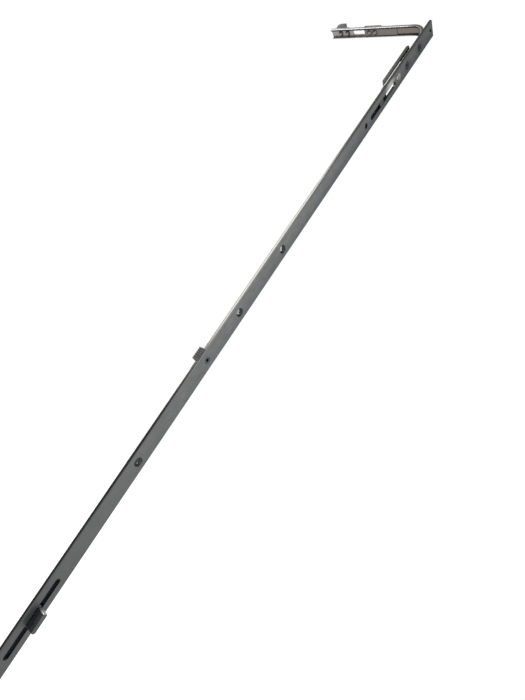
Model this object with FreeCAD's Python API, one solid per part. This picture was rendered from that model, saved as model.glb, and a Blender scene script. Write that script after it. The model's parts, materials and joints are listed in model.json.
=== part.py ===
import FreeCAD, Part
import math
import os

# Espagnolette lock for a window sash, with a corner drive at its top end.
# Lengths are in millimetres. The origin is on the axis of the handle's spindle, in the middle
# of the lock's width. +Z runs up along the faceplate and +X points out of the faceplate.
# A drop is a distance down from the faceplate's top end. A reach is a distance in from the
# faceplate's outer face. The lock is drawn in the middle of its stroke.

Vector = FreeCAD.Vector
ACROSS = Vector(0, 1, 0)
OUTWARD = Vector(1, 0, 0)
UPWARD = Vector(0, 0, 1)

# Faceplate
backset = 15.0
top_height = 745.0
bottom_depth = 126.0
plate_width = 16.0
plate_thickness = 2.5
plate_edge_round = 0.8
end_hole_drop = 4.8
end_hole_radius = 2.3
gauge_hole_drop = 138.5
gauge_hole_radius = 2.4

# Screw holes
screw_drops = [73.0, 286.7, 353.4, 491.2]
bottom_screw_margin = 12.0
screw_hole_radius = 2.2
countersink_radius = 3.8
countersink_depth = 1.6

# Play between pieces
slide_gap = 0.1
pin_gap = 0.05
stroke_margin = 0.5

# Drive rod
rod_gap = 0.2
rod_thickness = 2.8
rod_top_drop = 97.0
rod_bottom_depth = 85.0
rod_narrow = 8.0
rod_wide = 9.8
wide_from_drop = 215.0
wide_to_drop = 412.0
wide_taper = 4.0
rod_slot_width = 5.0

# Rack and follower
pitch_depth = 0.84
tooth_count = 16
tooth_reach = 5
tooth_thickness = 1.9
tooth_tip_thickness = 1.5
tooth_bevel = 1.1
tooth_width = 4.8
tooth_tip_gap = 0.4
hub_gap = 0.3
window_half_count = 6
window_length = 2.4
window_width = 5.3
window_flare = 0.6
window_flare_depth = 1.2
journal_radius = 7.0
spindle_square = 7.0

# Gear case
case_thickness = 12.0
case_gap = 0.3
case_wall = 2.1
case_half_length = 68.0
case_shoulder_height = 34.0
case_taper = 9.0
case_end_depth = 13.0
case_corner_round = 2.0
case_rim = 1.8
case_relief = 0.6
case_boss_wall = 1.4
handle_hole_spacing = 43.0
handle_hole_radius = 3.0
post_height = 60.0
post_radius = 1.9
post_shoulder_radius = 2.35
post_head_radius = 3.2
post_head_length = 1.6
post_embed = 5.0
case_rivet_radius = 1.8
case_rivet_places = [(-10.8, 22.0), (-10.8, -22.0), (-1.5, 47.0), (-1.5, -47.0)]

# Detent spring
detent_height = -43.0
detent_leaf = 0.6
detent_width = 8.0
detent_span = 19.0
detent_rise = 3.4
detent_gap = 0.15
detent_notch_radius = 1.6
detent_notch_depth = 0.4

# Slots and cams on the faceplate
upper_slot_top_drop = 79.5
upper_slot_width = 4.8
guide_block_drop = 107.5
guide_block_length = 7.0
guide_block_width = 4.5
guide_block_sink = 0.2
block_pin_radius = 1.1
block_pin_spacing = 3.8
cam_rise = 134.0
cam_slot_slack = 3.1
cam_slot_width = 4.6
cam_offset = 1.4
cam_length = 15.2
cam_step = 0.3
cam_width = 3.4
cam_height = 8.0
cam_edge = 0.4
cam_foot_width = 4.4
cam_foot_sink = 0.4
cam_pin_radius = 1.4
cam_pin_spacing = 7.0
rivet_head = 0.8
rivet_head_crown = 0.62

# Guide clip
clip_drop = 400.3
clip_length = 11.0
clip_wall = 1.6
clip_back = 1.3
clip_boss_radius = 3.2
clip_slot_width = 6.8
clip_rib_count = 5
clip_rib_width = 1.0
clip_rib_height = 0.4
clip_rivet_radius = 2.0
clip_rivet_bore = 1.3
clip_rivet_head_radius = 3.0

# Corner strip
leg_drop = 0.7
leg_reach = 115.0
strip_width = 10.0
strip_depth = 3.2
strip_web = 1.2
strip_lip = 1.3
strip_lip_round = 1.15
strip_low_drop = 60.0
bend_radius = 16.0
strip_rivet_drops = [29.0, 55.0]
strip_rivet_radius = 2.1
strip_rivet_bore = 1.2
strip_rivet_sink = 0.5

# Spring leaves
leaf_width = 7.0
fixed_leaf = 0.4
moving_leaf = 0.6
fixed_leaf_low_drop = 59.0
leaf_lap = 1.2

# Slider on the short leg
slider_margin = 39.7
slider_length = 20.3
slider_thickness = 1.7
slider_width = 9.8
slider_chamfer = 0.8
shoe_length = 11.0
shoe_width = 4.0
slider_rivet_spacing = 6.4
slider_rivet_radius = 1.5
slider_rivet_head_radius = 2.3
slider_rivet_head = 1.1
leaf_inset = 1.3

# End cam on the short leg
end_cam_margin = 4.4
end_cam_length = 13.4
end_cam_foot = 1.2
end_cam_height = 8.4
end_cam_width = 9.4
end_cam_round = 3.4
end_cam_ramp = 4.2
end_cam_rivet_insets = [6.6, 15.0]
end_cam_rivet_radius = 1.5
end_cam_rivet_head_radius = 2.4

# Coupling arm
arm_front_reach = 6.9
arm_depth = 3.4
arm_top_drop = 32.0
arm_web_top_drop = 35.5
arm_web_low_drop = 52.0
arm_web = 1.6
cheek_inner = 7.2
cheek_thickness = 1.6
joggle_start_drop = 85.0
joggle_length = 7.4
joggle_lag = 3.5
lap_low_drop = 117.0
arm_rivet_radius = 1.3
arm_rivet_drops = [100.8, 114.2]
spacer_rivet_drops = [39.5, 48.0]
spacer_rivet_radius = 1.25

# Derived sizes
plate_back = plate_thickness
rod_front = plate_back + rod_gap
rod_back = rod_front + rod_thickness
pitch_radius = backset - rod_front - pitch_depth
stroke = pitch_radius * math.pi / 2
rack_pitch = 2 * math.pi * pitch_radius / tooth_count
tooth_tip = backset - plate_back - tooth_tip_gap
hub_radius = backset - rod_back - hub_gap
case_front = rod_back + case_gap
case_back = backset + tooth_tip + slide_gap * 4 + case_wall
half_case = case_thickness / 2
strip_top = top_height - leg_drop
bend_x = backset - plate_back - bend_radius
bend_z = strip_top - bend_radius
fixed_leaf_depth = strip_web + fixed_leaf
moving_leaf_start = fixed_leaf_depth + slide_gap
moving_leaf_depth = moving_leaf_start + moving_leaf
moving_leaf_top = bend_z - stroke - stroke_margin / 2
moving_leaf_near = bend_x - stroke - stroke_margin / 2
lap_depth = rod_thickness / 2
slider_far_reach = leg_reach - slider_margin
shoe_mid_reach = slider_far_reach - slider_length / 2
leaf_far_reach = slider_far_reach - leaf_inset
end_cam_far_reach = leg_reach - end_cam_margin
end_cam_near_reach = end_cam_far_reach - end_cam_length
end_cam_foot_reach = slider_far_reach + stroke + stroke_margin
end_cam_rivet_reaches = [end_cam_far_reach - inset for inset in end_cam_rivet_insets]


def x_at(reach):
    """The X of a reach behind the faceplate's outer face."""
    return backset - reach


def z_at(drop):
    """The Z of a drop below the faceplate's top end."""
    return top_height - drop


def block(reach0, reach1, width, z0, z1):
    """A box centred on the lock's width, between two reaches and two heights."""
    corner = Vector(x_at(reach1), -width / 2, z0)
    return Part.makeBox(reach1 - reach0, width, z1 - z0, corner)


def bar_x(reach0, reach1, z, radius):
    """A round bar along X on the middle of the lock's width."""
    return Part.makeCylinder(radius, reach1 - reach0, Vector(x_at(reach1), 0, z), OUTWARD)


def cone_x(outer_reach, outer_radius, inner_reach, inner_radius, z):
    """A cone along X, outer_radius at outer_reach, which lies nearer to the outer face."""
    length = inner_reach - outer_reach
    return Part.makeCone(inner_radius, outer_radius, length, Vector(x_at(inner_reach), 0, z), OUTWARD)


def bar_z(x, z0, z1, radius):
    """A round bar along Z on the middle of the lock's width."""
    return Part.makeCylinder(radius, z1 - z0, Vector(x, 0, z0), UPWARD)


def bar_y(x, z, y0, y1, radius):
    """A round bar along Y."""
    return Part.makeCylinder(radius, y1 - y0, Vector(x, y0, z), ACROSS)


def line(start, end):
    return Part.LineSegment(start, end).toShape()


def arc(start, middle, end):
    return Part.Arc(start, middle, end).toShape()


def obround(low, high, half, along, thickness):
    """A round-ended bar of half width half from low to high, along a unit vector, extruded."""
    side = thickness.cross(along).normalize() * half
    start = low + along * half
    end = high - along * half
    edges = [
        line(start + side, end + side),
        arc(end + side, high, end - side),
        line(end - side, start - side),
        arc(start - side, low, start + side),
    ]
    return Part.Face(Part.Wire(edges)).extrude(thickness)


def slot_through_x(reach0, reach1, z0, z1, width):
    """A cutter for a round-ended slot along Z that goes through along X."""
    low = Vector(x_at(reach1), 0, z0)
    high = Vector(x_at(reach1), 0, z1)
    return obround(low, high, width / 2, UPWARD, OUTWARD * (reach1 - reach0))


def slot_through_z(x0, x1, z0, z1, width):
    """A cutter for a round-ended slot along X that goes through along Z."""
    low = Vector(x0, 0, z0)
    high = Vector(x1, 0, z0)
    return obround(low, high, width / 2, OUTWARD, UPWARD * (z1 - z0))


def side_profile(points, y0, y1):
    """A solid with the straight-sided outline of (x, z) points, from y0 to y1."""
    corners = [Vector(x, y0, z) for x, z in points]
    face = Part.Face(Part.makePolygon(corners + corners[:1]))
    return face.extrude(ACROSS * (y1 - y0))


def bent_band(depth0, depth1, y0, y1, low_z, far_x):
    """A strip that runs up behind the faceplate, round the bend and out along the short leg.

    depth0 and depth1 are measured in from the outer side of the corner strip.
    """
    middle = math.sqrt(0.5)
    outer = bend_radius - depth0
    inner = bend_radius - depth1

    def point(x, z):
        return Vector(x, y0, z)

    edges = [
        line(point(bend_x + outer, low_z), point(bend_x + outer, bend_z)),
        arc(point(bend_x + outer, bend_z), point(bend_x + outer * middle, bend_z + outer * middle),
            point(bend_x, bend_z + outer)),
        line(point(bend_x, bend_z + outer), point(far_x, bend_z + outer)),
        line(point(far_x, bend_z + outer), point(far_x, bend_z + inner)),
        line(point(far_x, bend_z + inner), point(bend_x, bend_z + inner)),
        arc(point(bend_x, bend_z + inner), point(bend_x + inner * middle, bend_z + inner * middle),
            point(bend_x + inner, bend_z)),
        line(point(bend_x + inner, bend_z), point(bend_x + inner, low_z)),
        line(point(bend_x + inner, low_z), point(bend_x + outer, low_z)),
    ]
    return Part.Face(Part.Wire(edges)).extrude(ACROSS * (y1 - y0))


def edges_along(shape, direction):
    """The straight edges of a shape that run along a direction."""
    found = []
    for edge in shape.Edges:
        if edge.Curve.TypeId == "Part::GeomLine":
            if abs(abs(edge.tangentAt(edge.FirstParameter).dot(direction)) - 1) < 1e-6:
                found.append(edge)
    return found


def rivet_head_at(centre, direction, radius, height):
    """A low round head that stands on centre and tapers along direction."""
    return Part.makeCone(radius, radius * rivet_head_crown, height, centre, direction)


def one_solid(shape):
    """The shape with its seams merged, as the single solid that it holds."""
    return shape.removeSplitter().Solids[0]


def screw_heights():
    """The heights of the screw holes in the faceplate."""
    heights = [z_at(drop) for drop in screw_drops]
    heights.append(-bottom_depth + bottom_screw_margin)
    return heights


def upper_slot_ends():
    """The lowest and highest point of the upper slot."""
    low = z_at(guide_block_drop) - guide_block_length / 2 - stroke - stroke_margin
    return low, z_at(upper_slot_top_drop)


def cam_slot_ends():
    """The lowest and highest point of the locking cam's slot."""
    half = cam_length / 2 + stroke + cam_slot_slack
    return cam_rise - half, cam_rise + half


def make_faceplate():
    plate = block(0, plate_thickness, plate_width, -bottom_depth, top_height)
    front_edges = []
    for edge in edges_along(plate, UPWARD):
        if edge.Vertexes[0].X > x_at(plate_thickness / 2):
            front_edges.append(edge)
    plate = plate.makeFillet(plate_edge_round, front_edges)
    cutters = []
    for z in screw_heights():
        cutters.append(bar_x(-1, plate_thickness + 1, z, screw_hole_radius))
        cutters.append(cone_x(0, countersink_radius, countersink_depth, screw_hole_radius, z))
    for drop in strip_rivet_drops:
        cutters.append(bar_x(-1, plate_thickness + 1, z_at(drop), strip_rivet_radius + pin_gap))
        cutters.append(cone_x(0, countersink_radius, countersink_depth, screw_hole_radius, z_at(drop)))
    cutters.append(bar_x(-1, plate_thickness + 1, z_at(end_hole_drop), end_hole_radius))
    cutters.append(bar_x(-1, plate_thickness + 1, z_at(gauge_hole_drop), gauge_hole_radius))
    low, high = upper_slot_ends()
    cutters.append(slot_through_x(-1, plate_thickness + 1, low, high, upper_slot_width))
    low, high = cam_slot_ends()
    cutters.append(slot_through_x(-1, plate_thickness + 1, low, high, cam_slot_width))
    cutters.append(bar_x(-1, plate_thickness + 1, z_at(clip_drop), clip_rivet_radius + pin_gap))
    cutters.append(cone_x(0, clip_rivet_head_radius + pin_gap, countersink_depth,
                          clip_rivet_radius + pin_gap, z_at(clip_drop)))
    for z in (post_height, -post_height):
        cutters.append(bar_x(-1, plate_thickness + 1, z, post_radius + pin_gap))
    return one_solid(plate.cut(cutters))


def make_corner_strip():
    low = z_at(strip_low_drop)
    far = x_at(leg_reach)
    half = strip_width / 2
    web = bent_band(0, strip_web, -half, half, low, far)
    lips = []
    for y in (-half, half - strip_lip):
        lips.append(bent_band(0, strip_depth, y, y + strip_lip, low, far))
    strip = web.fuse(lips).removeSplitter()
    rims = [edge for edge in strip.Edges if runs_along_lip(edge)]
    strip = strip.makeFillet(strip_lip_round, rims)
    cutters = []
    for drop in strip_rivet_drops:
        cutters.append(bar_x(plate_back - 1, plate_back + strip_web + 1, z_at(drop),
                             strip_rivet_radius + pin_gap))
    near, away = leg_slot_ends()
    cutters.append(slot_through_z(away, near, strip_top - strip_web - 1, strip_top + 1,
                                  shoe_width + 2 * slide_gap))
    for reach in end_cam_rivet_reaches:
        cutters.append(bar_z(x_at(reach), strip_top - strip_web - 1, strip_top + 1,
                             end_cam_rivet_radius + pin_gap))
    return one_solid(strip.cut(cutters))


def runs_along_lip(edge):
    """Whether an edge lies on the outer corner of one of the strip's lips, inside the bend."""
    for vertex in edge.Vertexes:
        depth = bend_radius - math.hypot(max(0, vertex.X - bend_x), max(0, vertex.Z - bend_z))
        if abs(depth - strip_depth) > pin_gap or abs(vertex.Y) < strip_width / 2 - pin_gap:
            return False
    return edge.BoundBox.YLength < pin_gap


def leg_slot_ends():
    """The X of the near and the far end of the slot in the short leg."""
    half = shoe_length / 2 + stroke + stroke_margin / 2
    return x_at(shoe_mid_reach) + half, x_at(shoe_mid_reach) - half


def make_strip_rivets():
    """Hollow rivets that hold the corner strip and the fixed leaf behind the faceplate."""
    rivets = []
    inner = plate_back + fixed_leaf_depth
    for drop in strip_rivet_drops:
        z = z_at(drop)
        shank = bar_x(strip_rivet_sink, inner, z, strip_rivet_radius)
        taper = (countersink_radius - screw_hole_radius) / countersink_depth
        head_radius = countersink_radius - pin_gap - strip_rivet_sink * taper
        head = cone_x(strip_rivet_sink, head_radius, countersink_depth, screw_hole_radius - pin_gap, z)
        bore = bar_x(0, inner - fixed_leaf, z, strip_rivet_bore)
        rivets.append(one_solid(shank.fuse(head).cut(bore)))
    return Part.makeCompound(rivets)


def make_fixed_leaf():
    """The stretch of the spring leaf that stays in the bend, forked at the leg's slot."""
    low = z_at(fixed_leaf_low_drop)
    far = x_at(leaf_far_reach) + stroke - leaf_lap / 2
    half = leaf_width / 2
    leaf = bent_band(strip_web, fixed_leaf_depth, -half, half, low, far)
    near, away = leg_slot_ends()
    cutters = [slot_through_z(away, near, strip_top - fixed_leaf_depth - 1, strip_top,
                              shoe_width + 2 * slide_gap)]
    for drop in strip_rivet_drops:
        cutters.append(bar_x(plate_back, plate_back + fixed_leaf_depth + 1, z_at(drop),
                             strip_rivet_radius + pin_gap))
    return one_solid(leaf.cut(cutters))


def make_lower_leaf():
    """The end of the spring leaf that the coupling arm pushes up and down."""
    leaf = block(plate_back + moving_leaf_start, plate_back + moving_leaf_depth, leaf_width,
                 z_at(arm_web_low_drop), moving_leaf_top)
    holes = []
    for drop in spacer_rivet_drops:
        holes.append(bar_x(plate_back, plate_back + strip_depth, z_at(drop),
                           spacer_rivet_radius + pin_gap))
    return one_solid(leaf.cut(holes))


def make_upper_leaf():
    """The end of the spring leaf that carries the slider along the short leg."""
    length = moving_leaf_near - x_at(leaf_far_reach)
    corner = Vector(x_at(leaf_far_reach), -leaf_width / 2, strip_top - moving_leaf_depth)
    leaf = Part.makeBox(length, leaf_width, moving_leaf, corner)
    holes = []
    for x in slider_rivet_places():
        holes.append(bar_z(x, strip_top - strip_depth, strip_top, slider_rivet_radius + pin_gap))
    return one_solid(leaf.cut(holes))


def slider_rivet_places():
    """The X of the slider's two rivets."""
    middle = x_at(shoe_mid_reach)
    return [middle - slider_rivet_spacing / 2, middle + slider_rivet_spacing / 2]


def make_slider_plate():
    corner = Vector(x_at(slider_far_reach), -slider_width / 2, strip_top + slide_gap)
    plate = Part.makeBox(slider_length, slider_width, slider_thickness, corner)
    top_edges = []
    for edge in edges_along(plate, ACROSS):
        if edge.Vertexes[0].Z > strip_top + slider_thickness / 2:
            top_edges.append(edge)
    plate = plate.makeChamfer(slider_chamfer, top_edges)
    holes = []
    for x in slider_rivet_places():
        holes.append(bar_z(x, strip_top, strip_top + slider_thickness + 1,
                           slider_rivet_radius + pin_gap))
    return one_solid(plate.cut(holes))


def make_slot_shoe():
    """The block that runs in the short leg's slot between the plate and the leaf."""
    half = shoe_length / 2
    middle = x_at(shoe_mid_reach)
    low = strip_top - moving_leaf_start
    shoe = slot_through_z(middle - half, middle + half, low, strip_top + slide_gap, shoe_width)
    holes = []
    for x in slider_rivet_places():
        holes.append(bar_z(x, low - 1, strip_top + 1, slider_rivet_radius + pin_gap))
    return one_solid(shoe.cut(holes))


def make_slider_rivets():
    rivets = []
    low = strip_top - moving_leaf_depth
    high = strip_top + slide_gap + slider_thickness
    for x in slider_rivet_places():
        shank = bar_z(x, low, high, slider_rivet_radius)
        head = rivet_head_at(Vector(x, 0, low), -UPWARD, slider_rivet_head_radius, slider_rivet_head)
        rivets.append(one_solid(shank.fuse(head)))
    return Part.makeCompound(rivets)


def make_end_cam():
    """The fixed cam at the end of the short leg, upright on its far side and ramped on its near."""
    far = x_at(end_cam_far_reach)
    near = x_at(end_cam_near_reach)
    foot = x_at(end_cam_foot_reach)
    base = strip_top
    top = strip_top + end_cam_height
    half = end_cam_width / 2
    centre_x = far + end_cam_round
    centre_z = top - end_cam_round
    middle = math.sqrt(0.5) * end_cam_round

    def point(x, z):
        return Vector(x, -half, z)

    edges = [
        line(point(far, base), point(far, centre_z)),
        arc(point(far, centre_z), point(centre_x - middle, centre_z + middle), point(centre_x, top)),
        line(point(centre_x, top), point(near - end_cam_ramp, top)),
        line(point(near - end_cam_ramp, top), point(near, base + end_cam_foot)),
        line(point(near, base + end_cam_foot), point(foot, base + end_cam_foot)),
        line(point(foot, base + end_cam_foot), point(foot, base)),
        line(point(foot, base), point(far, base)),
    ]
    cam = Part.Face(Part.Wire(edges)).extrude(ACROSS * end_cam_width)
    holes = []
    for reach in end_cam_rivet_reaches:
        holes.append(bar_z(x_at(reach), base - 1, base + end_cam_foot, end_cam_rivet_radius + pin_gap))
    return one_solid(cam.cut(holes))


def make_end_cam_rivets():
    rivets = []
    low = strip_top - strip_web
    for reach in end_cam_rivet_reaches:
        x = x_at(reach)
        shank = bar_z(x, low, strip_top + end_cam_foot - pin_gap, end_cam_rivet_radius)
        head = rivet_head_at(Vector(x, 0, low), -UPWARD, end_cam_rivet_head_radius, rivet_head * 2)
        rivets.append(one_solid(shank.fuse(head)))
    return Part.makeCompound(rivets)


def make_drive_rod():
    bottom = -rod_bottom_depth
    lap_top = z_at(rod_top_drop)
    narrow = rod_narrow / 2
    wide = rod_wide / 2
    high = z_at(wide_from_drop)
    low = z_at(wide_to_drop)
    outline = [
        (narrow, bottom), (narrow, low - wide_taper), (wide, low), (wide, high),
        (narrow, high + wide_taper), (narrow, lap_top),
    ]
    corners = [Vector(x_at(rod_back), y, z) for y, z in outline]
    corners += [Vector(x_at(rod_back), -y, z) for y, z in reversed(outline)]
    rod = Part.Face(Part.makePolygon(corners + corners[:1])).extrude(OUTWARD * rod_thickness)
    through = (rod_front - 1, rod_back + 1)
    cutters = [block(rod_front + lap_depth, rod_back + 1, rod_wide, z_at(lap_low_drop), lap_top + 1)]
    half = stroke + screw_hole_radius + stroke_margin
    for drop in screw_drops:
        z = z_at(drop)
        if z < lap_top:
            cutters.append(slot_through_x(*through, z - half, z + half, rod_slot_width))
    half = stroke + clip_boss_radius + stroke_margin
    cutters.append(slot_through_x(*through, z_at(clip_drop) - half, z_at(clip_drop) + half,
                                  clip_slot_width))
    half = stroke + post_shoulder_radius + stroke_margin
    for z in (post_height, -post_height):
        cutters.append(slot_through_x(*through, z - half, z + half, rod_slot_width))
    for step in range(-window_half_count, window_half_count + 1):
        cutters.append(window_cutter(step * rack_pitch))
    for step in (-1, 0, 1):
        z = detent_height + step * stroke
        x = x_at(rod_back) - detent_notch_radius + detent_notch_depth
        cutters.append(bar_y(x, z, -rod_wide, rod_wide, detent_notch_radius))
    for z in block_pin_heights():
        cutters.append(bar_x(*through, z, block_pin_radius + pin_gap))
    for drop in arm_rivet_drops:
        cutters.append(bar_x(*through, z_at(drop), arm_rivet_radius + pin_gap))
    for z in cam_pin_heights():
        cutters.append(bar_x(*through, z, cam_pin_radius + pin_gap))
    return one_solid(rod.cut(cutters))


def window_cutter(z):
    """A cutter for one window of the rack, flared at the rod's back for the teeth."""
    front = x_at(rod_front) + 1
    back = x_at(rod_back)
    half = window_length / 2
    points = [
        (front, z - half), (front, z + half), (back + window_flare_depth, z + half),
        (back, z + half + window_flare), (back, z - half - window_flare),
        (back + window_flare_depth, z - half),
    ]
    return side_profile(points, -window_width / 2, window_width / 2)


def block_pin_heights():
    """The heights of the guide block's two pins."""
    middle = z_at(guide_block_drop)
    return [middle - block_pin_spacing / 2, middle + block_pin_spacing / 2]


def cam_ends():
    """The lowest and highest point of the locking cam."""
    middle = cam_rise + cam_offset
    return middle - cam_length / 2, middle + cam_length / 2


def cam_pin_heights():
    """The heights of the locking cam's two pins."""
    middle = cam_rise + cam_offset
    return [middle - cam_pin_spacing / 2, middle + cam_pin_spacing / 2]


def make_guide_block():
    """The block that runs in the upper slot, with two pins through the rod and the arm."""
    z = z_at(guide_block_drop)
    half = guide_block_length / 2
    body = slot_through_x(guide_block_sink, rod_front, z - half, z + half, guide_block_width)
    for pin_z in block_pin_heights():
        body = body.fuse(bar_x(rod_front, rod_back, pin_z, block_pin_radius))
    return one_solid(body)


def make_locking_cam():
    """The round-ended cam that stands out through its slot, with a foot and two pins in the rod."""
    low, high = cam_ends()
    cam = slot_through_x(-cam_height, cam_foot_sink, low + cam_step, high - cam_step, cam_width)
    crown = [edge for edge in cam.Edges if edge.BoundBox.XMin > x_at(-cam_height) - cam_edge]
    cam = cam.makeChamfer(cam_edge, crown)
    cam = cam.fuse(slot_through_x(cam_foot_sink, rod_front, low, high, cam_foot_width))
    for z in cam_pin_heights():
        cam = cam.fuse(bar_x(rod_front, rod_back, z, cam_pin_radius))
    return one_solid(cam)


def make_coupling_arm():
    """The raised carrier that joins the rod to the spring leaf behind the corner strip."""
    front = x_at(arm_front_reach)
    back = front - arm_depth
    lap_front = x_at(rod_front + lap_depth)
    lap_back = x_at(rod_back)
    top = z_at(arm_top_drop)
    joggle_back = z_at(joggle_start_drop)
    joggle_front = joggle_back - joggle_lag
    lap_top = joggle_back - joggle_length
    foot = lap_top - cheek_thickness
    inner = cheek_inner / 2
    outer = inner + cheek_thickness
    cheek = [
        (front, top - arm_depth), (front, joggle_front), (lap_front, lap_top), (lap_front, foot),
        (lap_back, foot), (lap_back, lap_top), (back, joggle_back), (back, top - arm_depth),
    ]
    arm = block(rod_front + lap_depth, rod_back, rod_narrow, z_at(lap_low_drop), lap_top)
    shoulder = block(rod_front + lap_depth, rod_back, 2 * outer, z_at(rod_top_drop), lap_top)
    arm = arm.fuse(shoulder)
    for y in (-outer, inner):
        arm = arm.fuse(side_profile(cheek, y, y + cheek_thickness))
        rounded = bar_y(front - arm_depth / 2, top - arm_depth, y, y + cheek_thickness, arm_depth / 2)
        arm = arm.fuse(rounded)
    web = block(arm_front_reach, arm_front_reach + arm_web, cheek_inner, z_at(arm_web_low_drop),
                z_at(arm_web_top_drop))
    arm = arm.fuse(web)
    cutters = []
    for drop in spacer_rivet_drops:
        cutters.append(bar_x(arm_front_reach - 1, arm_front_reach + arm_depth, z_at(drop),
                             spacer_rivet_radius + pin_gap))
    for drop in arm_rivet_drops:
        cutters.append(bar_x(rod_front, rod_back + 1, z_at(drop), arm_rivet_radius + pin_gap))
    for z in block_pin_heights():
        cutters.append(bar_x(rod_front, rod_back + 1, z, block_pin_radius + pin_gap))
    return one_solid(arm.cut(cutters))


def make_spacer_block():
    """The block between the arm's web and the leaf, which runs between the strip's lips."""
    width = strip_width - 2 * strip_lip - 4 * slide_gap
    spacer = block(plate_back + moving_leaf_depth, arm_front_reach, width,
                   z_at(arm_web_low_drop), z_at(arm_web_top_drop))
    holes = []
    for drop in spacer_rivet_drops:
        holes.append(bar_x(plate_back, arm_front_reach + 1, z_at(drop),
                           spacer_rivet_radius + pin_gap))
    return one_solid(spacer.cut(holes))


def make_spacer_rivets():
    """Flush rivets through the arm's web, the spacer block and the leaf."""
    low = plate_back + moving_leaf_start
    high = arm_front_reach + arm_web
    rivets = [bar_x(low, high, z_at(drop), spacer_rivet_radius) for drop in spacer_rivet_drops]
    return Part.makeCompound(rivets)


def make_arm_rivets():
    """Flush rivets through the lap of the rod and the coupling arm."""
    rivets = [bar_x(rod_front, rod_back, z_at(drop), arm_rivet_radius) for drop in arm_rivet_drops]
    return Part.makeCompound(rivets)


def make_guide_clip():
    """The ribbed clip that holds the rod to the faceplate and lets it slide."""
    z = z_at(clip_drop)
    half = clip_length / 2
    channel = rod_wide + 2 * slide_gap
    outer_width = channel + 2 * clip_wall
    back = rod_back + slide_gap + clip_back
    clip = block(plate_back, back, outer_width, z - half, z + half)
    clip = clip.makeChamfer(clip_rib_height, edges_along(clip, ACROSS)[:2])
    clip = clip.cut(block(plate_back - 1, rod_back + slide_gap, channel, z - half - 1, z + half + 1))
    clip = clip.fuse(bar_x(plate_back, back, z, clip_boss_radius))
    pitch = clip_length / clip_rib_count
    for step in range(clip_rib_count):
        rib_z = z - half + pitch * (step + 0.5)
        clip = clip.fuse(block(plate_back, back, outer_width + 2 * clip_rib_height,
                               rib_z - clip_rib_width / 2, rib_z + clip_rib_width / 2)
                         .cut(block(plate_back - 1, back + 1, outer_width - clip_wall,
                                    z - half - 1, z + half + 1)))
    clip = clip.cut(bar_x(plate_back - 1, back + 1, z, clip_rivet_radius + pin_gap))
    return one_solid(clip)


def make_clip_rivet():
    """The hollow rivet that holds the guide clip, flush with the faceplate."""
    z = z_at(clip_drop)
    back = rod_back + slide_gap + clip_back
    rivet = bar_x(slide_gap, back, z, clip_rivet_radius)
    rivet = rivet.fuse(cone_x(slide_gap, clip_rivet_head_radius - pin_gap, countersink_depth,
                              clip_rivet_radius, z))
    rivet = rivet.fuse(bar_x(back, back + rivet_head, z, clip_rivet_head_radius))
    return one_solid(rivet.cut(bar_x(-1, rod_back, z, clip_rivet_bore)))


def make_follower():
    """The toothed follower that the handle's square spindle turns."""
    half = tooth_width / 2
    journal = half_case - slide_gap
    hub = bar_y(0, 0, -half, half, hub_radius)
    hub = hub.fuse(bar_y(0, 0, -journal, journal, journal_radius))
    root = tooth_thickness / 2
    tip = tooth_tip_thickness / 2
    tooth = side_profile([(0, -root), (tooth_tip - tooth_bevel, -root), (tooth_tip, -tip),
                          (tooth_tip, tip), (tooth_tip - tooth_bevel, root), (0, root)], -half, half)
    for step in range(-tooth_reach, tooth_reach + 1):
        turned = tooth.copy()
        turned.rotate(Vector(0, 0, 0), ACROSS, step * 360 / tooth_count)
        hub = hub.fuse(turned)
    side = spindle_square / 2
    square = Part.makeBox(spindle_square, case_thickness, spindle_square,
                          Vector(-side, -half_case, -side))
    return one_solid(hub.cut(square))


def case_outline(y0, y1):
    """The gear case's outline, deep round the follower and shallow at its ends."""
    front = x_at(case_front)
    deep = x_at(case_back)
    shallow = front - case_end_depth
    shoulder = case_shoulder_height
    slope = shoulder + case_taper
    ends = case_half_length
    points = [
        (front, -ends), (front, ends), (shallow, ends), (shallow, slope), (deep, shoulder),
        (deep, -shoulder), (shallow, -slope), (shallow, -ends),
    ]
    body = side_profile(points, y0, y1)
    rounded = [edge for edge in edges_along(body, ACROSS) if edge.Vertexes[0].X < front - 1]
    return body.makeFillet(case_corner_round, rounded)


def case_panels(y0, y1):
    """Cutters for the shallow panels in one side of the gear case, which leave its rim and bosses."""
    front = x_at(case_front) - case_rim
    deep = x_at(case_back) + case_rim
    shallow = x_at(case_front) - case_end_depth + case_rim
    low = case_shoulder_height + case_taper
    high = case_half_length - case_rim
    middle = case_shoulder_height - case_rim
    outlines = [
        (deep, -middle, middle),
        (shallow, low, high),
        (shallow, -high, -low),
    ]
    bosses = [bar_y(0, 0, y0, y1, journal_radius + case_boss_wall)]
    for z in (handle_hole_spacing / 2, -handle_hole_spacing / 2):
        bosses.append(bar_y(0, z, y0, y1, handle_hole_radius + case_boss_wall))
    panels = []
    for back, z0, z1 in outlines:
        panel = side_profile([(front, z0), (front, z1), (back, z1), (back, z0)], y0, y1)
        panels.append(panel.makeFillet(case_corner_round / 2, edges_along(panel, ACROSS)).cut(bosses))
    return panels


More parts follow.
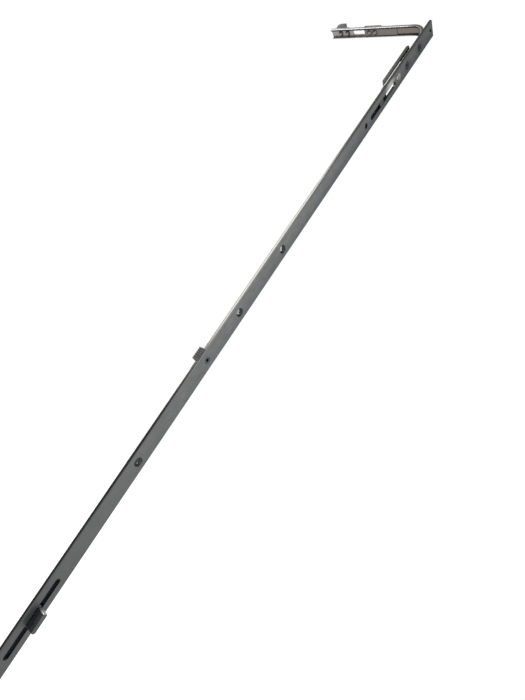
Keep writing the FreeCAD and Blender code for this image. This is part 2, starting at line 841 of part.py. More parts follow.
def case_cutters():
    """Everything that is cut out of both halves of the gear case."""
    room = tooth_tip + slide_gap * 4
    tooth_half = tooth_width / 2 + slide_gap
    cutters = [
        bar_y(0, 0, -tooth_half, tooth_half, room),
        bar_y(0, 0, -half_case - 1, half_case + 1, journal_radius + pin_gap),
    ]
    for z in (handle_hole_spacing / 2, -handle_hole_spacing / 2):
        cutters.append(bar_y(0, z, -half_case - 1, half_case + 1, handle_hole_radius))
    for x, z in case_rivet_places:
        cutters.append(bar_y(x, z, -half_case - 1, half_case + 1, case_rivet_radius + pin_gap))
    for z in (post_height, -post_height):
        inner = case_front + post_embed
        cutters.append(bar_x(case_front - 1, inner, z, post_radius + pin_gap))
        cutters.append(bar_x(inner, inner + post_head_length, z, post_head_radius + pin_gap))
    pocket_depth = case_front + detent_rise + detent_leaf
    cutters.append(block(case_front - 1, pocket_depth, detent_width + 4 * slide_gap,
                         detent_height - detent_span / 2 - slide_gap,
                         detent_height + detent_span / 2 + slide_gap))
    return cutters


def make_case_left():
    panels = case_panels(-half_case, -half_case + case_relief)
    return one_solid(case_outline(-half_case, 0).cut(case_cutters() + panels))


def make_case_right():
    panels = case_panels(half_case - case_relief, half_case)
    return one_solid(case_outline(0, half_case).cut(case_cutters() + panels))


def make_case_rivets():
    """Rivets that clamp the two halves of the gear case together, flush with its rim."""
    rivets = [bar_y(x, z, -half_case, half_case, case_rivet_radius) for x, z in case_rivet_places]
    return Part.makeCompound(rivets)


def make_case_posts():
    """Shouldered posts that hold the gear case behind the faceplate, through the rod's slots."""
    posts = []
    for z in (post_height, -post_height):
        inner = case_front + post_embed
        post = bar_x(slide_gap, inner, z, post_radius)
        post = post.fuse(bar_x(plate_back, case_front, z, post_shoulder_radius))
        post = post.fuse(bar_x(inner, inner + post_head_length - pin_gap, z, post_head_radius))
        posts.append(one_solid(post))
    return Part.makeCompound(posts)


def make_detent_spring():
    """The bowed leaf that presses on the back of the rod and clicks into its notches."""
    half = detent_span / 2
    crest = x_at(rod_back + detent_gap)
    foot = crest - detent_rise
    y = -detent_width / 2

    def point(x, z):
        return Vector(x, y, detent_height + z)

    edges = [
        arc(point(foot, -half), point(crest, 0), point(foot, half)),
        line(point(foot, half), point(foot - detent_leaf, half)),
        arc(point(foot - detent_leaf, half), point(crest - detent_leaf, 0),
            point(foot - detent_leaf, -half)),
        line(point(foot - detent_leaf, -half), point(foot, -half)),
    ]
    return Part.Face(Part.Wire(edges)).extrude(ACROSS * detent_width).Solids[0]


PIECES = {
    "faceplate": make_faceplate,
    "corner_strip": make_corner_strip,
    "strip_rivets": make_strip_rivets,
    "corner_leaf": make_fixed_leaf,
    "lower_leaf": make_lower_leaf,
    "upper_leaf": make_upper_leaf,
    "slider_plate": make_slider_plate,
    "slot_shoe": make_slot_shoe,
    "slider_rivets": make_slider_rivets,
    "end_cam": make_end_cam,
    "end_cam_rivets": make_end_cam_rivets,
    "drive_rod": make_drive_rod,
    "guide_block": make_guide_block,
    "locking_cam": make_locking_cam,
    "coupling_arm": make_coupling_arm,
    "spacer_block": make_spacer_block,
    "spacer_rivets": make_spacer_rivets,
    "arm_rivets": make_arm_rivets,
    "guide_clip": make_guide_clip,
    "clip_rivet": make_clip_rivet,
    "follower": make_follower,
    "case_left": make_case_left,
    "case_right": make_case_right,
    "case_rivets": make_case_rivets,
    "case_posts": make_case_posts,
    "detent_spring": make_detent_spring,
}

os.makedirs("parts", exist_ok=True)
for name, make in PIECES.items():
    make().exportStep(os.path.join("parts", name + ".step"))
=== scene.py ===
import json
import math

import bpy
from mathutils import Matrix, Vector


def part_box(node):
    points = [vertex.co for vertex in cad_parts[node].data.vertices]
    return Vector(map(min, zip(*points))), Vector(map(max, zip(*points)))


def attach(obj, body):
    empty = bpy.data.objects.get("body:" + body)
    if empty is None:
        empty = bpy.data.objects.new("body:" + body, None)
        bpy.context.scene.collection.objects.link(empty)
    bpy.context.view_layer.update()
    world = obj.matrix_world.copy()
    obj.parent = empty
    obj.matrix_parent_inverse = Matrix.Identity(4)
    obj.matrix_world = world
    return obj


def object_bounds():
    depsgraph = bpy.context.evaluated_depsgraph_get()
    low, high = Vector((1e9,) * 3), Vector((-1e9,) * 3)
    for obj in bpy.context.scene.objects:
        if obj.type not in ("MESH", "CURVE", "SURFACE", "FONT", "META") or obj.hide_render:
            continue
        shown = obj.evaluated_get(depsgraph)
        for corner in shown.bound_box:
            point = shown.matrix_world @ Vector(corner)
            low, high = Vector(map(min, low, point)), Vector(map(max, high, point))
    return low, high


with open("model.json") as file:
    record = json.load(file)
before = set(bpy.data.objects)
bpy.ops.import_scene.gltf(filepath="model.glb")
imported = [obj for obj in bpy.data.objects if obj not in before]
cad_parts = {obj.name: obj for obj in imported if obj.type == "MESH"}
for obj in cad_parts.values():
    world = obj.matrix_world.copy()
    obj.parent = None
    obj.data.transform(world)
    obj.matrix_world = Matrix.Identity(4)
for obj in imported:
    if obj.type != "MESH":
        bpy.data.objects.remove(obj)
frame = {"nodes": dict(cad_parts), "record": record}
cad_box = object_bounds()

nodes = frame["nodes"]


# Camera: a pinhole camera at the photograph's viewpoint, in metres in the lock's own frame. Its lens
# is in mm, on a sensor of 36 mm along the picture's longer side.
camera_place = (0.25798, -0.28978, 0.27567)
camera_right = (0.76647709, 0.37023196, 0.5248249)
camera_down = (0.31954467, 0.48900765, -0.81164199)
camera_ahead = (-0.55713919, 0.78980999, 0.25650751)
camera_lens = 25.32
camera_sensor = 36.0
camera_nearest, camera_farthest = 0.01, 30.0


def add_camera():
    data = bpy.data.cameras.new("camera")
    data.sensor_width = camera_sensor
    data.sensor_fit = "AUTO"
    data.lens = camera_lens
    data.clip_start = camera_nearest
    data.clip_end = camera_farthest
    camera = bpy.data.objects.new("camera", data)
    axes = Matrix((camera_right, [-v for v in camera_down], [-v for v in camera_ahead])).transposed()
    camera.matrix_world = Matrix.Translation(camera_place) @ axes.to_4x4()
    bpy.context.scene.collection.objects.link(camera)
    bpy.context.scene.camera = camera


class Tree:
    """A material whose nodes all work on the object's own place, in metres."""

    ray_samples = 8

    def __init__(self, name):
        self.name = name
        self.material = bpy.data.materials.new(name)
        self.material.use_nodes = True
        self.nodes = self.material.node_tree.nodes
        self.links = self.material.node_tree.links
        self.shader = self.nodes["Principled BSDF"]
        self.place = self.nodes.new("ShaderNodeTexCoord").outputs["Object"]

    def link(self, source, target):
        self.links.new(source, target)

    def feed(self, value, socket):
        """Set a socket to a number or a colour, or link a node's output to it."""
        if isinstance(value, (int, float)):
            socket.default_value = value
        elif isinstance(value, tuple):
            socket.default_value = (*value, 1.0)
        else:
            self.link(value, socket)

    def noise(self, scale, detail, roughness, stretch=(1.0, 1.0, 1.0)):
        mapping = self.nodes.new("ShaderNodeMapping")
        mapping.inputs["Scale"].default_value = stretch
        self.link(self.place, mapping.inputs["Vector"])
        noise = self.nodes.new("ShaderNodeTexNoise")
        noise.inputs["Scale"].default_value = scale
        noise.inputs["Detail"].default_value = detail
        noise.inputs["Roughness"].default_value = roughness
        self.link(mapping.outputs["Vector"], noise.inputs["Vector"])
        return noise.outputs["Fac"]

    def spread(self, source, low, high, to_low=0.0, to_high=1.0):
        """Stretch a number's range from low to high over another, and stop at its ends."""
        node = self.nodes.new("ShaderNodeMapRange")
        node.inputs["From Min"].default_value = low
        node.inputs["From Max"].default_value = high
        node.inputs["To Min"].default_value = to_low
        node.inputs["To Max"].default_value = to_high
        self.link(source, node.inputs["Value"])
        return node.outputs["Result"]

    def ramp(self, source, stops):
        node = self.nodes.new("ShaderNodeValToRGB")
        band = node.color_ramp
        band.elements[0].position = stops[0][0]
        band.elements[0].color = (*stops[0][1], 1.0)
        band.elements[1].position = stops[-1][0]
        band.elements[1].color = (*stops[-1][1], 1.0)
        for position, colour in stops[1:-1]:
            element = band.elements.new(position)
            element.color = (*colour, 1.0)
        self.link(source, node.inputs["Fac"])
        return node.outputs["Color"]

    def mix(self, factor, first, second, mode="MIX"):
        """Mix two colours. Sockets 0, 6 and 7 and output 2 are the node's own for colours."""
        node = self.nodes.new("ShaderNodeMix")
        node.data_type = "RGBA"
        node.blend_type = mode
        self.feed(factor, node.inputs[0])
        self.feed(first, node.inputs[6])
        self.feed(second, node.inputs[7])
        return node.outputs[2]

    def sums(self, mode, first, second):
        node = self.nodes.new("ShaderNodeMath")
        node.operation = mode
        self.feed(first, node.inputs[0])
        self.feed(second, node.inputs[1])
        return node.outputs[0]

    def product(self, first, second):
        return self.sums("MULTIPLY", first, second)

    def vector_math(self, mode, first, second=None):
        node = self.nodes.new("ShaderNodeVectorMath")
        node.operation = mode
        self.link(first, node.inputs[0])
        if second is not None:
            node.inputs[1].default_value = second
        return node.outputs["Value" if mode == "LENGTH" else "Vector"]

    def axis(self, vector, name):
        parts = self.nodes.new("ShaderNodeSeparateXYZ")
        self.link(vector, parts.inputs["Vector"])
        return parts.outputs[name]

    def along(self, name):
        """The place along one axis, in metres."""
        return self.axis(self.place, name)

    def normal(self, name):
        surface = self.nodes.new("ShaderNodeNewGeometry")
        return self.axis(surface.outputs["Normal"], name)

    def facing(self, name):
        """How squarely a face looks along an axis, either way, from 0 to 1."""
        return self.sums("ABSOLUTE", self.normal(name), 0.0)

    def oval(self, centre, radii, fade):
        """1 inside an oval round a place, less over the fade's share by its rim, and 0 outside it."""
        shift = self.vector_math("SUBTRACT", self.place, centre)
        share = self.vector_math("MULTIPLY", shift, [1.0 / radius for radius in radii])
        return self.spread(self.vector_math("LENGTH", share), 1.0, 1.0 - fade)

    def tint(self, factor, colour):
        """Lay a colour, by a factor, over the shader's base colour."""
        socket = self.shader.inputs["Base Color"]
        self.link(self.mix(factor, socket.links[0].from_socket, colour), socket)

    def level(self, socket_name, factor, value):
        """Bring a number that feeds the shader nearer to a value, by a factor."""
        socket = self.shader.inputs[socket_name]
        source = socket.links[0].from_socket
        difference = self.sums("SUBTRACT", value, source)
        self.link(self.sums("ADD", source, self.product(factor, difference)), socket)

    def vary(self, socket_name, factor, low, high):
        """Let a number of the shader go from low to high with a factor."""
        self.link(self.spread(factor, 0.0, 1.0, low, high), self.shader.inputs[socket_name])

    def edges(self, radius):
        """The normal over edges rounded by a radius, and how much a place is part of such an edge."""
        bevel = self.nodes.new("ShaderNodeBevel")
        bevel.samples = self.ray_samples
        bevel.inputs["Radius"].default_value = radius
        surface = self.nodes.new("ShaderNodeNewGeometry")
        agreement = self.nodes.new("ShaderNodeVectorMath")
        agreement.operation = "DOT_PRODUCT"
        self.link(bevel.outputs["Normal"], agreement.inputs[0])
        self.link(surface.outputs["Normal"], agreement.inputs[1])
        return bevel.outputs["Normal"], self.spread(agreement.outputs["Value"], 0.995, 0.80)

    def hollows(self, reach):
        """Less than 1 where other surfaces stand within a reach in metres."""
        node = self.nodes.new("ShaderNodeAmbientOcclusion")
        node.samples = self.ray_samples
        node.inputs["Distance"].default_value = reach
        return node.outputs["AO"]

    def soil_and_shade(self, base, reach, grime_and_shade, closed=0.25, clear=0.95):
        """Darken a colour in hollows by a share of dirt and painted shade."""
        open_air = self.spread(self.hollows(reach), closed, clear, to_low=1.0 - grime_and_shade)
        return self.mix(1.0, base, open_air, "MULTIPLY")

    def bump(self, source, strength, distance, normal):
        node = self.nodes.new("ShaderNodeBump")
        node.inputs["Strength"].default_value = strength
        node.inputs["Distance"].default_value = distance
        self.link(source, node.inputs["Height"])
        self.link(normal, node.inputs["Normal"])
        return node.outputs["Normal"]


def shade(colour, amount):
    return tuple(min(1.0, v * amount) for v in colour)


# The three kinds of surface. Edge radii, reaches of hollows and depths of relief are in metres.
def metal(name, colour, rough, grain, worn=1.5, grime_and_shade=0.45, edge=0.00035, hollow=0.004, cloud=0.16,
          metallic=1.0, streak=0.10, rough_spread=0.08, speckle=0.15, relief=0.08):
    """Satin plated steel: clouded zinc, drawn lines along grain, rubbed edges, and dirt and painted
    shade in hollows.
    """
    line_depth = 0.00006
    dark_cloud, pale_cloud = shade(colour, 1.0 - cloud), shade(colour, 1.0 + cloud)
    drawn, speck, bare = shade(colour, 0.70), shade(colour, 0.62), shade(colour, worn)
    tree = Tree(name)
    shader = tree.shader
    shader.inputs["Metallic"].default_value = metallic
    clouds = tree.noise(scale=9.0, detail=4.0, roughness=0.6)
    fine = tree.noise(scale=160.0, detail=5.0, roughness=0.65)
    lines = tree.noise(scale=60.0, detail=4.0, roughness=0.7, stretch=grain)
    base = tree.ramp(clouds, [(0.30, dark_cloud), (0.50, colour), (0.72, pale_cloud)])
    base = tree.mix(tree.spread(lines, 0.35, 0.75, to_high=2.0 * streak), base, drawn)
    base = tree.mix(tree.spread(fine, 0.62, 0.80, to_high=speckle), base, speck)
    normal, rim = tree.edges(edge)
    rubbed = tree.product(rim, tree.spread(fine, 0.30, 0.60, to_low=0.45))
    base = tree.mix(rubbed, base, bare)
    # Dirt and painted shade darken the hollows.
    tree.link(tree.soil_and_shade(base, hollow, grime_and_shade), shader.inputs["Base Color"])
    gloss = tree.sums("ADD", tree.spread(lines, 0.3, 0.8, rough - rough_spread, rough + rough_spread),
                      tree.spread(fine, 0.4, 0.8, to_high=0.10))
    tree.link(gloss, shader.inputs["Roughness"])
    tree.link(tree.bump(lines, relief, line_depth, normal), shader.inputs["Normal"])
    return tree


def cast(name, colour, rough, worn, metallic, grime_and_shade=0.5, speckle=0.25):
    """A die casting with a matte skin: fine sand-like relief, blotches and rubbed corners."""
    edge, hollow, sand_depth, rough_spread = 0.0004, 0.004, 0.00008, 0.08
    dark_blotch, pale_blotch = shade(colour, 0.78), shade(colour, 1.22)
    grain_tip, bare = shade(colour, 1.7), shade(colour, worn)
    tree = Tree(name)
    shader = tree.shader
    shader.inputs["Metallic"].default_value = metallic
    blotch = tree.noise(scale=70.0, detail=5.0, roughness=0.6)
    sand = tree.noise(scale=1400.0, detail=3.0, roughness=0.6)
    base = tree.ramp(blotch, [(0.32, dark_blotch), (0.52, colour), (0.74, pale_blotch)])
    base = tree.mix(tree.spread(sand, 0.58, 0.75, to_high=speckle), base, grain_tip)
    normal, rim = tree.edges(edge)
    rubbed = tree.product(rim, tree.spread(blotch, 0.35, 0.62, to_low=0.25))
    base = tree.mix(rubbed, base, bare)
    # Dirt and painted shade darken the hollows.
    tree.link(tree.soil_and_shade(base, hollow, grime_and_shade), shader.inputs["Base Color"])
    gloss = tree.spread(blotch, 0.3, 0.7, rough - rough_spread, rough + rough_spread)
    tree.link(gloss, shader.inputs["Roughness"])
    tree.link(tree.bump(sand, 0.20, sand_depth, normal), shader.inputs["Normal"])
    return tree


def plastic(name, colour, rough):
    """Moulded nylon: even colour with a fine spark-eroded skin and paler rubbed ridges."""
    edge, hollow, grime_and_shade, skin_depth = 0.0003, 0.0015, 0.78, 0.00005
    clean, dusty, ridge = shade(colour, 0.8), shade(colour, 1.5), shade(colour, 2.8)
    tree = Tree(name)
    shader = tree.shader
    shader.inputs["Metallic"].default_value = 0.0
    shader.inputs["IOR"].default_value = 1.5
    skin = tree.noise(scale=2200.0, detail=3.0, roughness=0.6)
    dust = tree.noise(scale=120.0, detail=5.0, roughness=0.65)
    base = tree.ramp(dust, [(0.35, clean), (0.55, colour), (0.78, dusty)])
    normal, rim = tree.edges(edge)
    base = tree.mix(tree.product(rim, 0.8), base, ridge)
    # Dirt and painted shade darken the hollows.
    base = tree.soil_and_shade(base, hollow, grime_and_shade, closed=0.35, clear=0.90)
    tree.link(base, shader.inputs["Base Color"])
    tree.link(tree.spread(dust, 0.3, 0.7, rough - 0.06, rough + 0.08), shader.inputs["Roughness"])
    tree.link(tree.bump(skin, 0.35, skin_depth, normal), shader.inputs["Normal"])
    return tree


# How the pattern of drawn lines is stretched: fine across the metal and long along it.
along_plate = (26.0, 26.0, 0.6)
along_leg = (0.6, 26.0, 26.0)
no_grain = (4.0, 4.0, 4.0)

plate_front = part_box("faceplate")[1][0]
plate_half = 0.008

# Colours of painted shade: in countersinks, and in rings round rivet heads.
countersink_shade = (0.016, 0.018, 0.022)
rivet_ring_shade = (0.020, 0.020, 0.022)

# An oval on a face takes its two radii in the face, and this one along the face's normal.
through = 1.0


def row_ends(name, axis):
    """The two places, on the lowest side, of a node's two round heads in a row along an axis."""
    low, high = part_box(name)
    radius = (high[1] - low[1]) / 2
    ends = []
    for place in (low[axis] + radius, high[axis] - radius):
        centre = [low[0], 0.0, low[2]]
        centre[axis] = place
        ends.append(tuple(centre))
    return ends, radius


def faceplate_zinc():
    """Zinc-plated strip: smoother slit edges, painted shade in the countersinks and a painted highlight
    by the slot.
    """
    tree = metal("faceplate_zinc", (0.121, 0.127, 0.127), 0.50, along_plate,
                 worn=1.15, grime_and_shade=0.15, hollow=0.0025, metallic=0.45)
    width, height = tree.along("Y"), tree.along("Z")

    # Painted shade: darker and bluer towards the right edge, more so further up.
    across = tree.spread(width, -0.25 * plate_half, plate_half)
    upward = tree.spread(height, 0.20, 0.60, to_low=0.10)
    tree.tint(tree.product(across, upward), (0.036, 0.048, 0.056))

    # A painted highlight beside the upper slot, centred 15 mm above the guide block.
    block_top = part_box("guide_block")[1][2]
    slot_highlight = tree.oval((plate_front, -0.0045, block_top + 0.015), (through, 0.0040, 0.0110), 0.9)
    tree.tint(tree.product(slot_highlight, 0.9), (0.62, 0.63, 0.62))

    # The screw holes' countersinks, of which the top one is pale and the rest hold painted shade, and
    # painted shade in those of the corner's rivets.
    sink_radius = 0.0041
    for mount in frame["record"]["mounts"]:
        if mount["kind"] == "bore":
            is_top = mount["name"] == "top_screw_hole"
            sink_tone, depth = ((0.55, 0.53, 0.42), 0.5) if is_top else (countersink_shade, 0.8)
            sunk = tree.oval(mount["pos_m"], (through, sink_radius, sink_radius), 0.2)
            tree.tint(tree.product(sunk, depth), sink_tone)
    for place in row_ends("strip_rivets", 2)[0]:
        sunk = tree.oval(place, (through, 0.0056, 0.0078), 0.9)
        tree.tint(tree.product(sunk, 0.95), countersink_shade)

    # Painted shade at the low end, and a painted highlight as a pale arris line by the left edge, over
    # the middle stretch.
    tree.tint(tree.spread(height, 0.21, 0.07), (0.082, 0.085, 0.084))
    stretch = tree.product(tree.spread(height, 0.56, 0.46), tree.spread(height, 0.27, 0.35))
    arris_highlight = tree.spread(width, -0.910 * plate_half, -0.945 * plate_half)
    tree.tint(tree.product(arris_highlight, stretch), (0.42, 0.41, 0.40))

    # The slit edges, which shine more than the drawn front, and are darker further down by painted
    # shade.
    slit = tree.spread(tree.facing("Y"), 0.6, 0.95)
    tree.tint(slit, (0.134, 0.128, 0.122))
    tree.tint(tree.product(slit, tree.spread(height, 0.34, 0.27)), (0.075, 0.073, 0.072))
    tree.level("Roughness", slit, 0.20)
    tree.vary("Metallic", slit, 0.45, 1.0)
    return tree


def ring_shade(tree, name):
    """Lay a ring of painted shade, 1 mm wide, round each of a node's two heads in a row along the leg.
    """
    places, radius = row_ends(name, 0)
    outer = radius + 0.0010
    for place in places:
        tree.tint(tree.oval(place, (outer, outer, through), 0.3), rivet_ring_shade)


def rod_zinc():
    """The rod's zinc, with a bluer skin on the front that shows through the faceplate's slots."""
    tree = metal("rod_zinc", (0.105, 0.110, 0.118), 0.36, along_plate, worn=1.2, grime_and_shade=0.35)
    rod_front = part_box("drive_rod")[1][0]
    skin = tree.spread(tree.along("X"), rod_front - 0.0004, rod_front - 0.0001)
    tree.tint(skin, (0.185, 0.198, 0.265))
    return tree


def strip_steel():
    """The corner strip: bright satin steel, with rings of painted shade round its rivets and painted
    shade where it bends.

    The side lip towards -Y has a painted highlight on its rounded edge, and a dark line of painted
    shade where it turns level.
    """
    tree = metal("strip_steel", (0.32, 0.305, 0.295), 0.30, along_leg, worn=1.0, rough_spread=0.03,
                 streak=0.0, cloud=0.04, grime_and_shade=0.3, speckle=0.0, metallic=0.6, relief=0.0,
                 edge=0.00008)
    # Rings of painted shade round the end cam's rivets.
    ring_shade(tree, "end_cam_rivets")
    outer_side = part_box("corner_strip")[0][1]
    lip = tree.spread(tree.along("Y"), 0.62 * outer_side, 0.70 * outer_side)
    # Painted highlight on the lip's rounded edge.
    lip_highlight = tree.product(lip, tree.spread(tree.normal("Z"), -0.10, -0.30))
    tree.tint(lip_highlight, (0.57, 0.58, 0.61))
    # Painted shade where the strip bends round the corner.
    bend_shade = tree.spread(tree.along("X"), -0.010, -0.002)
    tree.tint(bend_shade, (0.105, 0.102, 0.098))
    # A dark line of painted shade where the lip turns level.
    line = tree.product(lip, tree.spread(tree.facing("Z"), 0.66, 0.76))
    tree.tint(line, (0.005, 0.008, 0.018))
    return tree


def spring_steel():
    """Tempered leaf steel with a painted highlight that makes the cut ends paler, and rings of painted
    shade round the slider's rivets.
    """
    steel = (0.165, 0.145, 0.132)
    tree = metal("spring_steel", steel, 0.26, along_leg, worn=1.2, rough_spread=0.05, grime_and_shade=0.2)
    # Rings of painted shade round the slider's rivets.
    ring_shade(tree, "slider_rivets")
    # Painted highlight: the cut ends made paler.
    cut_end_highlight = tree.spread(tree.facing("X"), 0.6, 0.95)
    tree.tint(cut_end_highlight, shade(steel, 3.4))
    return tree


def rivet_navy():
    """The clip's hollow rivet: a dark blue eye in a paler flange, with a shadow line at one side."""
    tree = metal("rivet_navy", (0.105, 0.110, 0.114), 0.40, no_grain, grime_and_shade=0.2, metallic=0.6)
    low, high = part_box("clip_rivet")
    middle = [(a + b) / 2 for a, b in zip(low, high)]
    half = (high[1] - low[1]) / 2

    def disc(to_right, upwards, radius, fade):
        """A round spot on the flange, placed and sized in shares of the flange's radius."""
        centre = (middle[0], middle[1] + to_right * half, middle[2] + upwards * half)
        return tree.oval(centre, (through, radius * half, radius * half), fade)

    beside = tree.sums("SUBTRACT", disc(0.0, 0.0, 0.97, 0.08), disc(0.25, 0.28, 1.0, 0.10))
    shadow_line = tree.sums("MAXIMUM", beside, 0.0)
    tree.tint(shadow_line, (0.040, 0.042, 0.050))
    tree.tint(disc(0.08, 0.08, 0.84, 0.12), (0.022, 0.026, 0.048))
    return tree


def cam_worn():
    """The locking cam's dark skin, with painted shade on its front faces, rubbed bright and given a
    painted highlight on the round end that runs into the keeper.
    """
    dark_metallic, bright_metallic = 0.95, 0.35
    tree = cast("cam_worn", (0.112, 0.122, 0.134), 0.26, 1.6, dark_metallic, grime_and_shade=0.35, speckle=0.08)
    # Painted shade on the faces that look along X.
    front = tree.spread(tree.normal("X"), 0.70, 0.95)
    tree.tint(front, (0.075, 0.078, 0.076))
    # Rubbed bright on the round end, with a painted highlight on the faces that look up.
    outward = tree.spread(tree.along("X"), plate_front + 0.0005, plate_front + 0.0048, to_low=0.30)
    rubbed = tree.product(tree.spread(tree.normal("Z"), 0.35, 0.72), outward)
    tree.tint(rubbed, (0.74, 0.74, 0.76))
    tree.vary("Metallic", rubbed, dark_metallic, bright_metallic)
    return tree


looks = [
    faceplate_zinc(),
    rod_zinc(),
    strip_steel(),
    spring_steel(),
    cam_worn(),
    rivet_navy(),
    metal("arm_zinc", (0.078, 0.083, 0.076), 0.38, along_plate, worn=1.3, grime_and_shade=0.30),
    metal("rivet_steel", (0.20, 0.196, 0.19), 0.26, no_grain, grime_and_shade=0.75, hollow=0.002),
    metal("rivet_dark", (0.050, 0.052, 0.060), 0.30, no_grain, grime_and_shade=0.60, hollow=0.002),
    metal("block_steel", (0.060, 0.056, 0.050), 0.34, no_grain, grime_and_shade=0.6),
    cast("cam_dark", (0.125, 0.132, 0.138), 0.26, worn=1.9, metallic=0.95, grime_and_shade=0.35, speckle=0.08),
    cast("case_zamak", (0.24, 0.24, 0.242), 0.44, worn=1.5, metallic=0.9),
    cast("follower_steel", (0.18, 0.17, 0.155), 0.40, worn=1.6, metallic=1.0, speckle=0.4),
    plastic("clip_plastic", (0.075, 0.075, 0.080), 0.45),
    plastic("shoe_plastic", (0.05, 0.05, 0.05), 0.40),
]
material_by_name = {tree.name: tree.material for tree in looks}

# Pieces that look different from the rest of their material slot.
own_look = {
    "strip_rivets": "rivet_dark",
    "clip_rivet": "rivet_navy",
    "coupling_arm": "arm_zinc",
    "locking_cam": "cam_worn",
}

for part in frame["record"]["subparts"]:
    node = nodes[part["node"]]
    for slot in node.material_slots:
        slot.material = material_by_name[own_look.get(part["node"], part["material_slot"])]


def prism(outline, low, high):
    """Points and faces of an outline in Y and Z drawn out along X."""
    count = len(outline)
    points = [(low, y, z) for y, z in outline] + [(high, y, z) for y, z in outline]
    faces = [tuple(range(count)), tuple(reversed(range(count, 2 * count)))]
    for index in range(count):
        after = (index + 1) % count
        faces.append((index, index + count, after + count, after))
    return points, faces


def add_clip_ribs():
    """The clip's ribs, which reach over the faceplate's edge and show beside its front.

    Six ribs stand beside the faceplate, and a web joins them to the clip behind it.
    """
    low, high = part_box("guide_clip")
    rib_count = 6
    root, crest = -plate_half - 0.00045, -plate_half - 0.00095
    clearance = 0.00003
    back = low[0] + 0.0002
    pitch = (high[2] - low[2]) / rib_count

    inner_side = -plate_half - clearance
    outline = [(inner_side, low[2])]
    for index in range(rib_count):
        start = low[2] + index * pitch
        for share, y in ((0.10, root), (0.30, crest), (0.70, crest), (0.90, root)):
            outline.append((y, start + share * pitch))
    outline.append((inner_side, high[2]))
    front = plate_front - 0.0005
    points, faces = prism(outline, back, front)

    by_clip, by_ribs = low[1] - clearance, -plate_half - 0.0002
    bottom, top = low[2] + 0.0003, high[2] - 0.0003
    web_front = high[0] - 0.0001
    web = [(by_clip, bottom), (by_ribs, bottom), (by_ribs, top), (by_clip, top)]
    web_points, web_faces = prism(web, back, web_front)
    faces += [tuple(corner + len(points) for corner in face) for face in web_faces]

    mesh = bpy.data.meshes.new("clip_ribs")
    mesh.from_pydata(points + web_points, [], faces)
    ribs = bpy.data.objects.new("clip_ribs", mesh)
    bpy.context.scene.collection.objects.link(ribs)
    mesh.materials.append(material_by_name["clip_plastic"])
    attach(ribs, "root")


add_clip_ribs()


# Floor, world, cards and lamps: a pale floor under the lock's lower end, a plain white background,
# cards that the metal mirrors, and two soft boxes.
white = (1.0, 1.0, 1.0, 1.0)
floor_half = 4.0
floor_gap = 0.0005
floor_paint = (0.82, 0.82, 0.82, 1.0)
floor_glow = 0.65
world_light = 0.50


def seen_directly(tree):
    """1 for rays of the camera, of shine and of glass, and 0 for those that light matte surfaces."""
    path = tree.nodes.new("ShaderNodeLightPath")
    seen = path.outputs["Is Camera Ray"]
    for kind in ("Is Glossy Ray", "Is Transmission Ray"):
        either = tree.nodes.new("ShaderNodeMath")
        either.operation = "MAXIMUM"
        tree.links.new(seen, either.inputs[0])
        tree.links.new(path.outputs[kind], either.inputs[1])
        seen = either.outputs[0]
    return seen


def add_floor():
    height = cad_box[0][2] - floor_gap
    turns = [(-1, -1), (1, -1), (1, 1), (-1, 1)]
    corners = [(x * floor_half, y * floor_half, height) for x, y in turns]
    mesh = bpy.data.meshes.new("floor")
    mesh.from_pydata(corners, [], [(0, 1, 2, 3)])
    floor = bpy.data.objects.new("floor", mesh)
    bpy.context.scene.collection.objects.link(floor)
    material = bpy.data.materials.new("floor_paint")
    material.use_nodes = True
    tree = material.node_tree
    tree.nodes.clear()
    paint = tree.nodes.new("ShaderNodeBsdfDiffuse")
    paint.inputs["Color"].default_value = floor_paint
    glow = tree.nodes.new("ShaderNodeEmission")
    glow.inputs["Color"].default_value = white
    share = tree.nodes.new("ShaderNodeMath")
    share.operation = "MULTIPLY"
    share.inputs[1].default_value = floor_glow
    tree.links.new(seen_directly(tree), share.inputs[0])
    tree.links.new(share.outputs[0], glow.inputs["Strength"])
    both = tree.nodes.new("ShaderNodeAddShader")
    tree.links.new(paint.outputs[0], both.inputs[0])
    tree.links.new(glow.outputs[0], both.inputs[1])
    out = tree.nodes.new("ShaderNodeOutputMaterial")
    tree.links.new(both.outputs[0], out.inputs["Surface"])
    mesh.materials.append(material)


def set_world():
    """A world that is seen as white, and lights matte surfaces by a lower level."""
    world = bpy.data.worlds.new("world")
    world.use_nodes = True
    tree = world.node_tree
    tree.nodes.clear()
    shown = tree.nodes.new("ShaderNodeBackground")
    shown.inputs["Color"].default_value = white
    shown.inputs["Strength"].default_value = 1.0
    light = tree.nodes.new("ShaderNodeBackground")
    light.inputs["Color"].default_value = white
    light.inputs["Strength"].default_value = world_light
    mix = tree.nodes.new("ShaderNodeMixShader")
    tree.links.new(seen_directly(tree), mix.inputs["Fac"])
    tree.links.new(light.outputs[0], mix.inputs[1])
    tree.links.new(shown.outputs[0], mix.inputs[2])
    out = tree.nodes.new("ShaderNodeOutputWorld")
    tree.links.new(mix.outputs[0], out.inputs["Surface"])
    bpy.context.scene.world = world


def soft_box(name, place, target, width, height, radiance, colour=(1.0, 1.0, 1.0)):
    data = bpy.data.lights.new(name, "AREA")
    data.shape = "RECTANGLE"
    data.size = width
    data.size_y = height
    data.energy = radiance * math.pi * width * height
    data.color = colour
    lamp = bpy.data.objects.new(name, data)
    lamp.location = place
    lamp.rotation_euler = (Vector(target) - Vector(place)).to_track_quat("-Z", "Y").to_euler()
    lamp.visible_camera = False
    bpy.context.scene.collection.objects.link(lamp)


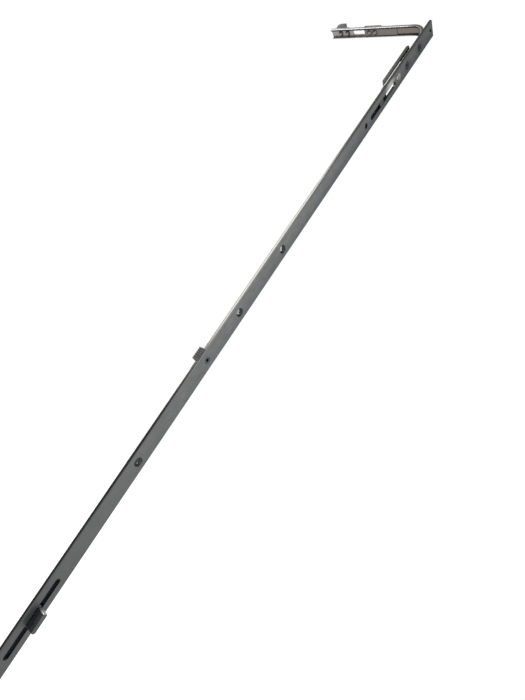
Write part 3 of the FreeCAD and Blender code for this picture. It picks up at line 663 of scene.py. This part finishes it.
def add_card(name, corners, glow):
    """A card that only the shine of the metal sees; it lights nothing matte and casts no shadow."""
    mesh = bpy.data.meshes.new(name)
    mesh.from_pydata(corners, [], [(0, 1, 2, 3)])
    card = bpy.data.objects.new(name, mesh)
    bpy.context.scene.collection.objects.link(card)
    card.visible_camera = False
    card.visible_diffuse = False
    card.visible_transmission = False
    card.visible_volume_scatter = False
    card.visible_shadow = False
    material = bpy.data.materials.new(name)
    material.use_nodes = True
    tree = material.node_tree
    tree.nodes.clear()
    paint = tree.nodes.new("ShaderNodeEmission")
    paint.inputs["Color"].default_value = (*glow, 1.0)
    paint.inputs["Strength"].default_value = 1.0
    out = tree.nodes.new("ShaderNodeOutputMaterial")
    tree.links.new(paint.outputs[0], out.inputs["Surface"])
    mesh.materials.append(material)


def flat_card(name, low, high, height, glow):
    corners = [(low[0], low[1]), (high[0], low[1]), (high[0], high[1]), (low[0], high[1])]
    add_card(name, [(*corner, height) for corner in corners], glow)


def add_cards():
    """Two dark screens beyond the camera, dark ground before them, a grey ceiling, a bright panel."""
    charcoal = (0.31, 0.30, 0.29)
    grey = (0.38, 0.39, 0.38)
    bright = (4.5, 4.5, 4.5)

    low, top = cad_box[0][2], 1.05
    turns = [(-3.6, -1.2), (-1.4, -3.0), (1.6, -3.2)]
    for index, (start, end) in enumerate(zip(turns, turns[1:])):
        corners = [(*start, low), (*end, low), (*end, top), (*start, top)]
        add_card("screen_" + str(index), corners, charcoal)

    above_floor = low + 0.002
    flat_card("dark_ground", (-3.6, -3.6), (-0.08, -0.08), above_floor, charcoal)
    flat_card("ceiling", (-3.8, -3.8), (3.8, 3.8), 3.4, grey)

    back, side, below, above = -1.9, 1.6, 1.9, 3.0
    corners = [(back, -side, below), (back, side, below), (back, side, above), (back, -side, above)]
    add_card("panel", corners, bright)


add_camera()
add_floor()
add_cards()
set_world()
soft_box("key", place=(-1.97, -2.27, 1.75), target=(0.0, 0.0, 0.45), width=1.80, height=1.60,
         radiance=5.3, colour=(1.0, 0.98, 0.95))
soft_box("fill", place=(1.93, 2.30, 1.65), target=(0.0, 0.0, 1.30), width=1.60, height=3.00,
         radiance=1.95)
bpy.context.scene.view_settings.view_transform = "Standard"
